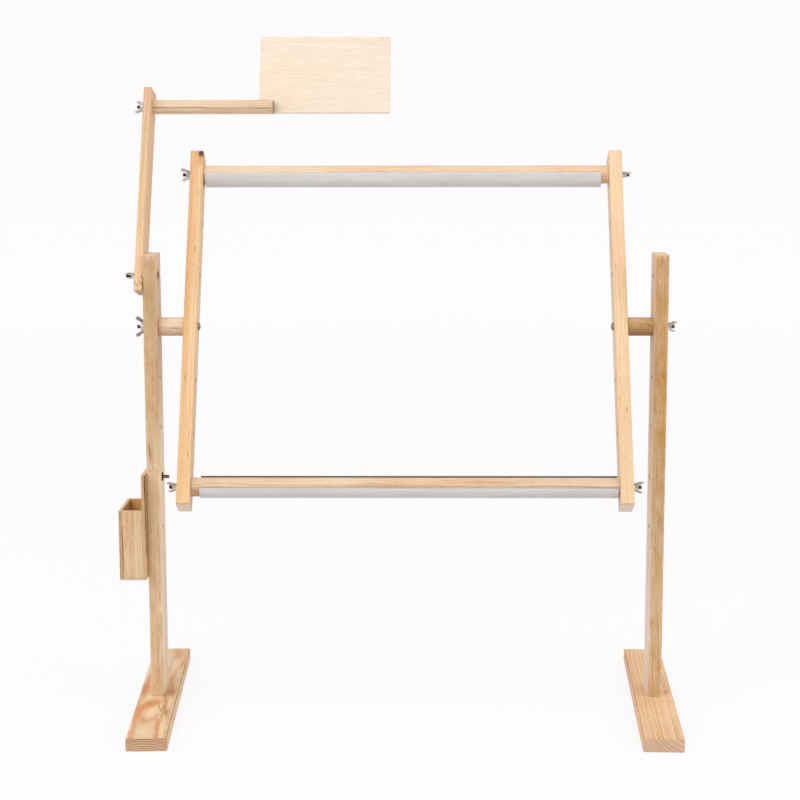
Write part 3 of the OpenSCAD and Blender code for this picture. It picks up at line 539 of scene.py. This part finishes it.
# The box's front wall has a pinkish stripe, a dark seam and a painted highlight along its top edge; the
# plate has a painted shadow line where it meets the post
BOX_FIGURE = {
    "front": ([((-5, -48, 8), (3.2, 20, 46), (232, 170, 126), 0.7)],
              [((-13.8, -48, 0), (-13.0, -48, -88), 0.8, (110, 62, 30), 0.85),
               ((3, -48, 20), (4, -48, -80), 1.0, (200, 152, 108), 0.6),
               # Painted highlight along the front wall's top edge
               ((-14, -48, 26.4), (16, -48, 26.4), 0.5, (250, 226, 194), 0.8)]),
    # Painted shadow along the plate's edge next to the post
    "plate": ([], [((21.3, -48, 92), (22.2, -48, -42), 1.1, (92, 46, 18), 1.0)]),
}
for node, seed, heart, early, late, tint in (
        ("plate", 14.2, (60, -40), (218, 184, 140), (186, 138, 92), (209, 169, 124)),
        ("front", 15.9, (-40, 70), (236, 205, 168), (194, 148, 104), (226, 189, 149)),
        ("rear", 16.1, (50, 60), (238, 192, 126), (200, 144, 80), (230, 177, 110)),
        ("side", 17.7, (-70, 30), (208, 178, 138), (172, 130, 88), (198, 164, 120))):
    box_marks, box_strokes = BOX_FIGURE.get(node, ((), ()))
    woods["tool_box_" + node] = wood(
        "box_%s_wood" % node, shift(-BOX_X, 0, BOX_MID_Z), early, late, ring=2.7, pith=heart, wander=6,
        ripple=2.2, contrast=0.65, fibre=0.065, streak=0.09, fleck=0.16, mottle=0.06, tint=tint, seed=seed,
        marks=box_marks, strokes=box_strokes, end=((232, 200, 160), (196, 148, 104)))
woods["tool_box_bottom"] = wood(
    "box_bottom_wood", along(shift(-BOX_X, 0, BOX_BOTTOM_Z), X, Z), (228, 192, 150), (200, 152, 106),
    ring=3.0, pith=(10, -60), contrast=0.55, seed=18.4)

zinc = plated("zinc_plate", (214, 214, 212), (176, 175, 172), rough=(0.2, 0.36))
bronze = plated("yellow_passivate", (164, 140, 104), (98, 78, 54), rough=(0.16, 0.32), metal=0.75)
browned = plated("browned_steel", (92, 58, 40), (58, 36, 26), rough=(0.7, 0.9), metal=0.0, shine=0.15)


# ---------------------------------------------------------------- CAD pieces, dressed

# Edges are smooth below the first angle, facets merge below the second, edges above the third are eased
SMOOTH_BELOW, FLAT_BELOW, EASE_ABOVE = [math.radians(angle) for angle in (35, 0.4, 38)]
WELD_GAP = 0.004 * MM


def smooth_group():
    """Geometry nodes that smooth a mesh but keep its sharper edges."""
    tree = bpy.data.node_groups.new("smooth_by_angle", "GeometryNodeTree")
    tree.interface.new_socket("Geometry", in_out="INPUT", socket_type="NodeSocketGeometry")
    tree.interface.new_socket("Geometry", in_out="OUTPUT", socket_type="NodeSocketGeometry")
    begin, end = tree.nodes.new("NodeGroupInput"), tree.nodes.new("NodeGroupOutput")
    faces = tree.nodes.new("GeometryNodeSetShadeSmooth")
    edges = tree.nodes.new("GeometryNodeSetShadeSmooth")
    edges.domain = "EDGE"
    angle = tree.nodes.new("GeometryNodeInputMeshEdgeAngle")
    small = tree.nodes.new("FunctionNodeCompare")
    small.operation = "LESS_THAN"
    small.inputs[1].default_value = SMOOTH_BELOW
    link = tree.links.new
    link(begin.outputs[0], faces.inputs["Geometry"])
    link(faces.outputs[0], edges.inputs["Geometry"])
    link(angle.outputs["Unsigned Angle"], small.inputs[0])
    link(small.outputs[0], edges.inputs["Shade Smooth"])
    link(edges.outputs[0], end.inputs[0])
    return tree


SMOOTH = smooth_group()
# Width in mm of the small bevel on each piece's edges
BOARD_EASE, BOX_EASE, CLIP_EASE, SCREW_EASE = 0.7, 0.4, 0.2, 0.12
FINE_EASES = {"chart_board": 0.35, "chart_dowel": 0.5}


def dress(node, material, ease):
    """Gives a CAD node its material, welds its facets together and eases its sharp edges."""
    obj = nodes[node]
    for place in obj.material_slots:
        place.material = material
    weld = obj.modifiers.new("weld", "WELD")
    weld.merge_threshold = WELD_GAP
    flat = obj.modifiers.new("flat", "DECIMATE")
    flat.decimate_type = "DISSOLVE"
    flat.angle_limit = FLAT_BELOW
    bevel = obj.modifiers.new("ease", "BEVEL")
    bevel.width = ease * MM
    bevel.segments = 2
    bevel.limit_method = "ANGLE"
    bevel.angle_limit = EASE_ABOVE
    bevel.use_clamp_overlap = False
    obj.modifiers.new("smooth", "NODES").node_group = SMOOTH
    normals = obj.modifiers.new("normals", "WEIGHTED_NORMAL")
    normals.keep_sharp = True


for node, material in woods.items():
    dress(node, material, FINE_EASES.get(node, BOX_EASE if node.startswith("tool_box") else BOARD_EASE))
for node, height, rim in (("top_clip", ROD_REACH, 0.0), ("bottom_clip", -ROD_REACH, 0.7)):
    # The bottom clip's rear lip rim gets painted shade standing in for the gap's shadow behind the rod; (58,
    # 44, 36) is the painted shade colour
    clip_white = plastic(node + "_white", height, (218, 217, 216), (214, 209, 208), (58, 44, 36), rim)
    dress(node, clip_white, CLIP_EASE)
for node in ("left_foot_screws", "right_foot_screws", "chart_board_screws"):
    dress(node, zinc, SCREW_EASE)


# ---------------------------------------------------------------- hardware

# Edges of the pieces made here stay sharp above this angle
SHARP_ABOVE = math.radians(40)
# Shank: radius, where it starts in a carriage bolt's neck, and its gap from the thread
SHANK_R, SHANK_FROM, SHANK_GAP = 2.95, 0.4, 0.2
# Machine thread: radius, how far its crest lies below that, pitch, depth, and how long its tip runs out
THREAD_R, CREST_DROP, THREAD_PITCH, THREAD_DEPTH, THREAD_TIP, TIP_SLOPE = 3.0, 0.08, 1.0, 0.5, 0.8, 0.55
# Its rows of points in a turn, and the shares of the pitch that its flat crest and its flanks take
TURN_ROWS, CREST_FLAT, FLANKS = 8, 0.1, 0.8
# Carriage bolt's head, square neck (half width, height) and threaded length
HEAD_R, HEAD_H, DOME_R, HEAD_RIM = 7, 4.2, 6.85, [(6.96, -0.32), (6.9, -0.1), (6.6, 0.0)]
DOME_ANGLES, DOME_LIFT = range(2, 83, 10), 0.02
NECK_ROWS, CARRIAGE_THREAD = [(2.9, 0.0), (2.9, 3.2), (2.2, 4.0)], 22
# Wood thread of a hanger bolt: tip radius, start, length, pitch, core radius and height of the thread
WOOD_TIP, WOOD_START, WOOD_LENGTH, WOOD_PITCH, WOOD_CORE, WOOD_CREST = 0.9, 0.6, 26.4, 2.4, 2.2, 0.75
# Its rows of points, its size at the tip and the height over which it grows, its sharpness, its shank
WOOD_ROWS, TAPER_FROM, TAPER_RISE, WOOD_SHARP, STUD_SHANK = 162, 0.35, 7, 5, 27.8
# Lengths: of the bolts, of the studs and their machine threads, and of a stud's part in the wood
PIVOT_BOLT_L, ARM_BOLT_L, ROD_STUD, DOWEL_STUD, STUD_SEAT = 92, 43.8, (63, 24), (55, 22), 30
# Wing nut: radius and height down the hub; root and tip of a wing with their radii and half thicknesses
HUB_ROWS = [(3.1, 0.5), (3.5, 0.05), (5.6, 0.05), (6.0, 0.4), (6.0, 1.3), (4.85, 3.0), (4.7, 7.5),
            (4.25, 8.0), (3.55, 8.0), (3.1, 7.5)]
WING_ROOT, WING_TIP, ROOT_R, TIP_R = (6.8, 3.6), (13.0, 12.5), 2.6, 3.0
WING_HALF, WING_THINNING = 1.32, 0.32
WING_LAYERS = ((-1.0, 0.86), (-0.72, 1.0), (0.72, 1.0), (1.0, 0.86))
TIP_STEPS, ROOT_STEPS, CAST_VOXEL, CAST_SOFTENING = 12, 8, 0.34 * MM, {"factor": 0.5, "iterations": 5}
# Tool box bolt: radius and height in the cross recess and over the head, the cross's core, its turn, and
# the heights of its shank and thread
PAN_RECESS, PAN_CORE, PAN_TWIST = [(2.2, -1.4), (2.6, -3.2), (3.0, -3.42)], 0.42, 0.785
PAN_ROWS = [(4.4, -3.5), (5.2, -3.2), (5.8, -2.5), (6.0, -1.7), (6.0, -0.25), (5.8, 0.0), (3.2, 0.0)]
PAN_SHANK, PAN_THREAD = (-0.2, 8.0), (8.2, 37)
# Flanged nut: radius and height over its barrel, notched flange and mouth; a notch's depth, and its width
# as a part of the cosine that sets the four of them out
TEE_BARREL = [(3.1, 9.0), (4.0, 9.0), (4.0, 0.4), (4.3, 0.0)]
TEE_MOUTH = [(4.3, -1.2), (3.6, -1.05), (3.1, -0.7)]
TEE_FLANGE, NOTCH_DEPTH, NOTCH_WIDTH = [(6.7, 0.0), (6.95, -0.25), (6.95, -0.95), (6.7, -1.2)], 1.1, 0.1


def mesh_object(name, bm, material, smooth=True):
    """Object made of a bmesh in millimetres, which is used up."""
    for vertex in bm.verts:
        vertex.co *= MM
    mesh = bpy.data.meshes.new(name)
    bm.to_mesh(mesh)
    bm.free()
    mesh.materials.append(material)
    for face in mesh.polygons:
        face.use_smooth = smooth
    obj = bpy.data.objects.new(name, mesh)
    scene.collection.objects.link(obj)
    return obj


def skin(bm, loops, closed=False):
    """Faces from each loop of vertices to the next; the last meets the first if closed, else both are
    capped."""
    count = len(loops[0])
    for low, high in zip(loops, loops[1:] + (loops[:1] if closed else [])):
        for i in range(count):
            j = (i + 1) % count
            bm.faces.new((low[i], low[j], high[j], high[i]))
    if not closed:
        bm.faces.new(list(reversed(loops[0])))
        bm.faces.new(loops[-1])


def tube(bm, rows, count=32, closed=False, twist=0.0):
    """Skin over rows of (radius, height), where a radius is a number or a function of the angle."""
    loops = []
    for radius, z in rows:
        loop = []
        for i in range(count):
            a = 2 * math.pi * i / count
            r = radius(a) if callable(radius) else radius
            loop.append(bm.verts.new((r * math.cos(a + twist), r * math.sin(a + twist), z)))
        loops.append(loop)
    skin(bm, loops, closed)


def thread_rows(start, end):
    """Rows of a right-handed thread between two heights, running out at the tip above."""
    rows = []
    steps = int((end - start) / THREAD_PITCH * TURN_ROWS)
    for k in range(steps + 1):
        z = start + (end - start) * k / steps
        fade = min(1.0, (z - start) / THREAD_PITCH)
        limit = THREAD_R - CREST_DROP - max(0.0, z - (end - THREAD_TIP)) * TIP_SLOPE

        def cut(a, z=z, fade=fade, limit=limit):
            t = (z / THREAD_PITCH - a / (2 * math.pi)) % 1.0
            v = max(0.0, min(1.0, (abs(t - 0.5) * 2 - CREST_FLAT) / FLANKS))
            return min(limit, THREAD_R - CREST_DROP - THREAD_DEPTH * v * fade)
        rows.append((cut, z))
    return rows


def shank_rows(start, end, threaded):
    """Rows of a smooth shank that is threaded over the given length at its end."""
    return [(SHANK_R, start), (SHANK_R, end - threaded - SHANK_GAP)] + thread_rows(end - threaded, end)


def carriage(bm, length):
    """Domed head below zero, square neck, threaded shank up to the given length."""
    dome = (HEAD_R ** 2 + HEAD_H ** 2) / (2 * HEAD_H)
    rows = []
    for angle in DOME_ANGLES:
        r = DOME_R * math.sin(math.radians(angle)) / math.sin(math.radians(DOME_ANGLES[-1]))
        rows.append((r, dome - HEAD_H - math.sqrt(dome ** 2 - r ** 2) + DOME_LIFT))
    tube(bm, rows + HEAD_RIM, 40)
    skin(bm, [[bm.verts.new((x * half, y * half, z)) for x, y in ((-1, -1), (1, -1), (1, 1), (-1, 1))]
              for half, z in NECK_ROWS])
    tube(bm, shank_rows(SHANK_FROM, length, CARRIAGE_THREAD))


def stud_rows(length, threaded):
    """Hanger bolt: a coarse wood thread at the foot, a machine thread at the far end."""
    rows = [(WOOD_TIP, 0.0)]
    for k in range(WOOD_ROWS + 1):
        z = WOOD_START + WOOD_LENGTH * k / WOOD_ROWS
        taper = min(1.0, TAPER_FROM + z / TAPER_RISE)

        def cut(a, z=z, taper=taper):
            t = (z / WOOD_PITCH - a / (2 * math.pi)) % 1.0
            v = max(0.0, 1.0 - abs(t - 0.5) * WOOD_SHARP)
            return (WOOD_CORE + WOOD_CREST * v) * taper
        rows.append((cut, z))
    return rows + shank_rows(STUD_SHANK, length, threaded)


def lobe(bm, way):
    """One wing: a rounded tab leaning away from the hub, thinner towards its rim."""
    root, tip = Vector(WING_ROOT), Vector(WING_TIP)
    lean = tip - root
    heading, slope = math.atan2(lean.y, lean.x), math.acos((ROOT_R - TIP_R) / lean.length)
    outline = []
    for k in range(TIP_STEPS + 1):
        a = heading + slope - 2 * slope * k / TIP_STEPS
        outline.append((tip + TIP_R * Vector((math.cos(a), math.sin(a))), WING_HALF - WING_THINNING))
    for k in range(ROOT_STEPS + 1):
        a = heading - slope - (2 * math.pi - 2 * slope) * k / ROOT_STEPS
        outline.append((root + ROOT_R * Vector((math.cos(a), math.sin(a))), WING_HALF))
    middle = (root + tip) / 2
    layers = []
    for level, shrink in WING_LAYERS:
        layer = []
        for point, thick in outline:
            p = middle + (point - middle) * shrink
            layer.append(bm.verts.new((way * p.x, level * thick, p.y)))
        layers.append(layer)
    skin(bm, layers)


def applied(obj, modifiers):
    """Mesh of an object after the given modifiers, and the object is taken away."""
    for kind, settings in modifiers:
        modifier = obj.modifiers.new(kind.lower(), kind)
        for key, value in settings.items():
            setattr(modifier, key, value)
    bpy.context.view_layer.update()
    graph = bpy.context.evaluated_depsgraph_get()
    mesh = bpy.data.meshes.new_from_object(obj.evaluated_get(graph))
    bpy.data.objects.remove(obj)
    return mesh


def wing_nut_mesh():
    """Hub and two wings melted into one soft casting."""
    bm = bmesh.new()
    tube(bm, HUB_ROWS, 48, closed=True)
    for way in (-1, 1):
        lobe(bm, way)
    bmesh.ops.recalc_face_normals(bm, faces=bm.faces)
    mesh = applied(mesh_object("cast", bm, zinc), [
        ("REMESH", {"mode": "VOXEL", "voxel_size": CAST_VOXEL}), ("SMOOTH", CAST_SOFTENING)])
    for face in mesh.polygons:
        face.use_smooth = True
    mesh.name = "wing_nut_cast"
    return mesh


CAST_NUT = wing_nut_mesh()


def placed(name, mesh, matrix, body, slot, *replaced):
    """Puts a finer piece in the place of the CAD nodes that it replaces."""
    obj = bpy.data.objects.new(name, mesh)
    scene.collection.objects.link(obj)
    obj.matrix_world = matrix
    bpy.context.view_layer.update()
    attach(obj, body)
    if replaced:
        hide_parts(*replaced)


# Each wing nut's seat, and its turn on the bolt in degrees
NUTS = {
    "left_pivot_wing_nut": (outwards(-1, POST_OUT + TURN_GAP, 0, PIVOT_Z), 4),
    "right_pivot_wing_nut": (outwards(1, POST_OUT + TURN_GAP, 0, PIVOT_Z), 55),
    "top_left_wing_nut": (ON_FRAME @ outwards(-1, BAR_OUT + TURN_GAP, 0, ROD_REACH), 102),
    "top_right_wing_nut": (ON_FRAME @ outwards(1, BAR_OUT + TURN_GAP, 0, ROD_REACH), 104),
    "bottom_left_wing_nut": (ON_FRAME @ outwards(-1, BAR_OUT + TURN_GAP, 0, -ROD_REACH), 100),
    "bottom_right_wing_nut": (ON_FRAME @ outwards(1, BAR_OUT + TURN_GAP, 0, -ROD_REACH), 74),
    "chart_arm_wing_nut": (outwards(-1, POST_OUT + ARM_T + 2 * TURN_GAP, 0, TOP_HOLE_Z), 112),
    "chart_dowel_wing_nut": (ON_DOWEL @ outwards(-1, POST_OUT + ARM_T + 2 * TURN_GAP), 30),
}
for node, (matrix, angle) in NUTS.items():
    placed("cast_" + node, CAST_NUT, matrix @ turn("Z", angle), node, "zinc_steel", node)


def piece_mesh(name, build, material):
    """Mesh made by a builder, with its sharper edges kept."""
    bm = bmesh.new()
    build(bm)
    bmesh.ops.recalc_face_normals(bm, faces=bm.faces)
    for edge in bm.edges:
        if len(edge.link_faces) == 2 and edge.calc_face_angle() > SHARP_ABOVE:
            edge.smooth = False
    obj = mesh_object(name, bm, material)
    mesh = obj.data
    bpy.data.objects.remove(obj)
    return mesh


def pan_bolt(bm):
    """Low round head with a cross recess, then a threaded shank."""
    def recess(radius):
        return lambda a: radius * (PAN_CORE + (1 - PAN_CORE) * (0.5 + 0.5 * math.cos(4 * a)) ** 3)

    tube(bm, [(recess(r), z) for r, z in PAN_RECESS] + PAN_ROWS, 48, twist=PAN_TWIST)
    tube(bm, [(SHANK_R, z) for z in PAN_SHANK] + thread_rows(*PAN_THREAD))


def tee_nut(bm):
    """Flanged nut: a pressed disc with four notches, and a barrel with a rounded mouth."""
    def notched(radius):
        return lambda a: radius - NOTCH_DEPTH * (max(0.0, math.cos(4 * a) - 1 + NOTCH_WIDTH) / NOTCH_WIDTH)

    tube(bm, TEE_BARREL + [(notched(r), z) for r, z in TEE_FLANGE] + TEE_MOUTH, 64, closed=True)


pivot_bolt = piece_mesh("pivot_bolt_mesh", lambda bm: carriage(bm, PIVOT_BOLT_L), bronze)
for side, name in ((-1, "left"), (1, "right")):
    placed("turned_%s_pivot_bolt" % name, pivot_bolt, ON_FRAME @ outwards(side, BAR_IN), "frame",
           "yellow_steel", name + "_pivot_bolt")
arm_bolt = piece_mesh("arm_bolt_mesh", lambda bm: carriage(bm, ARM_BOLT_L), browned)
placed("turned_chart_arm_bolt", arm_bolt, outwards(-1, POST_IN + HEAD_H, 0, TOP_HOLE_Z), "stand",
       "yellow_steel", "chart_arm_bolt")

rod_stud = piece_mesh("rod_stud_mesh", lambda bm: tube(bm, stud_rows(*ROD_STUD)), bronze)
for node, u in (("top_rod_studs", ROD_REACH), ("bottom_rod_studs", -ROD_REACH)):
    for side, name in ((-1, "left"), (1, "right")):
        seat = ON_FRAME @ outwards(side, ROD_END - STUD_SEAT, 0, u)
        placed("threaded_%s_%s" % (node[:-1], name), rod_stud, seat, node.replace("_studs", ""),
               "yellow_steel", *([node] if side < 0 else []))
dowel_stud = piece_mesh("dowel_stud_mesh", lambda bm: tube(bm, stud_rows(*DOWEL_STUD)), bronze)
placed("threaded_chart_dowel_stud", dowel_stud, ON_DOWEL @ outwards(-1, POST_OUT - STUD_SEAT),
       "chart_holder", "yellow_steel", "chart_dowel_stud")

box_bolt = piece_mesh("box_bolt_mesh", pan_bolt, bronze)
box_bolt_seat = shift(-POST_OUT - PLATE_T - 2 * TURN_GAP, 0, BOX_BOLT_Z) @ turn("Y", 90)
placed("turned_tool_box_bolt", box_bolt, box_bolt_seat, "stand", "yellow_steel", "tool_box_bolt")
tee = piece_mesh("tee_nut_mesh", tee_nut, browned)
placed("pressed_tool_box_tee_nut", tee, outwards(-1, POST_IN, 0, BOX_BOLT_Z), "stand", "yellow_steel",
       "tool_box_tee_nut")


# ---------------------------------------------------------------- floor, light, camera

WHITE = (0.982, 0.965, 0.991)
FLOOR_HALF, FLOOR_DROP = 12000, 0.2
FLOOR_TONE, PAPER_TONE = (0.70, 0.69, 0.68, 1), (0.13, 0.13, 0.13, 1)
# Strength of the floor's own white from 0.8 m to 6 m away, which makes up for the fading light
FLOOR_GLOW = (0.8, 6.0, 0.87, 0.902)
# Light from the world by height, and how bright it looks in a gloss by direction
SOFT_SKY, GLOSS_SKY, GLOSS_WAY = (-0.3, 1.0, 0.45, 0.82), (-0.6, 0.45, 0.12, 1.0), (0, 0.62, 0.78)
AIM = (0, 0, 0.5)
# Lamps: place, width and level at the stand
LAMPS = {
    "key": ((-2.2, -2.9, 3.3), 2.2, 0.27),
    "fill": ((2.8, -2.6, 2.4), 2.4, 0.14),
    "left_side": ((-3.6, -0.7, 1.5), 1.8, 0.14),
    "right_side": ((3.6, -0.7, 1.5), 1.8, 0.16),
}
# Camera: place in m, slopes in radians, and focal length in pixels of the square picture
EYE, PITCH, YAW, ROLL = (0.0203, -2.912, 0.9335), 0.1553, -0.0099, -0.0013
FOCAL_PX, PICTURE_PX, SENSOR = 1938.5, 800, 36.0


def floor():
    """Pale ground: the camera and mirrors see it white with the stand's shadow, other light sees it grey."""
    bm = bmesh.new()
    for x, y in ((-1, -1), (1, -1), (1, 1), (-1, 1)):
        bm.verts.new((x * FLOOR_HALF, y * FLOOR_HALF, -FLOOR_DROP))
    bm.faces.new(bm.verts)
    g = Graph("floor_paper")
    path = g.add("ShaderNodeLightPath")
    seen = g.math("MAXIMUM", path.outputs["Is Camera Ray"], path.outputs["Is Glossy Ray"])
    seen = g.math("MAXIMUM", seen, path.outputs["Is Transmission Ray"])
    plain = g.add("ShaderNodeBsdfDiffuse", {"Color": FLOOR_TONE})
    paper = g.add("ShaderNodeBsdfDiffuse", {"Color": PAPER_TONE})
    reach = g.vector("LENGTH", g.add("ShaderNodeTexCoord").outputs["Object"], out=1)
    glow = g.add("ShaderNodeEmission", {"Color": (*WHITE, 1), "Strength": g.step(reach, *FLOOR_GLOW, False)})
    both = g.add("ShaderNodeAddShader", {0: paper.outputs[0], 1: glow.outputs[0]})
    mixed = g.add("ShaderNodeMixShader", {0: seen, 1: plain.outputs[0], 2: both.outputs[0]})
    output = g.add("ShaderNodeOutputMaterial")
    g.tree.links.new(mixed.outputs[0], output.inputs["Surface"])
    obj = mesh_object("floor", bm, g.material, smooth=False)


def sky():
    """White to the camera, a soft gradient of light, and a brighter side in glossy reflections."""
    world = bpy.data.worlds.new("studio")
    world.use_nodes = True
    scene.world = world
    g = Graph("", world.node_tree)
    path = g.add("ShaderNodeLightPath")
    way = g.add("ShaderNodeTexCoord").outputs["Generated"]

    def glow(colour, strength):
        return g.add("ShaderNodeBackground", {"Color": (*colour, 1), "Strength": strength}).outputs[0]

    def split(share, first, second):
        return g.add("ShaderNodeMixShader", {0: share, 1: first, 2: second}).outputs[0]

    soft = glow((1, 1, 1), g.step(g.vector("DOT_PRODUCT", way, Z, out=1), *SOFT_SKY))
    gloss = glow((1, 1, 1), g.step(g.vector("DOT_PRODUCT", way, GLOSS_WAY, out=1), *GLOSS_SKY))
    mirror = g.math("MAXIMUM", path.outputs["Is Glossy Ray"], path.outputs["Is Transmission Ray"])
    lit = split(path.outputs["Is Camera Ray"], split(mirror, soft, gloss), glow(WHITE, 1.0))
    output = g.add("ShaderNodeOutputWorld")
    g.tree.links.new(lit, output.inputs["Surface"])


def lamp(name, place, size, level):
    """Square soft light that adds the given level to a surface that faces it at the stand."""
    away = Vector(place) - Vector(AIM)
    data = bpy.data.lights.new(name, "AREA")
    data.shape = "SQUARE"
    data.size = size
    data.energy = level * math.pi ** 2 * away.length_squared
    obj = bpy.data.objects.new(name, data)
    obj.location = place
    obj.rotation_euler = away.to_track_quat("Z", "Y").to_euler()
    scene.collection.objects.link(obj)


def photo_camera():
    """Camera where the photograph was taken from."""
    data = bpy.data.cameras.new("camera")
    data.sensor_width = SENSOR
    data.lens = FOCAL_PX * SENSOR / PICTURE_PX
    camera = bpy.data.objects.new("camera", data)
    scene.collection.objects.link(camera)
    forward = Vector((math.sin(YAW) * math.cos(PITCH), math.cos(YAW) * math.cos(PITCH), -math.sin(PITCH)))
    right = forward.cross(Vector(Z)).normalized()
    upward = right.cross(forward)
    tilted = Matrix((right, upward, -forward)).transposed() @ Matrix.Rotation(ROLL, 3, "Z")
    camera.matrix_world = Matrix.Translation(EYE) @ tilted.to_4x4()
    scene.camera = camera


floor()
sky()
for name, (place, size, level) in LAMPS.items():
    lamp(name, place, size, level)
scene.view_settings.view_transform = "Standard"
photo_camera()

bpy.context.view_layer.update()
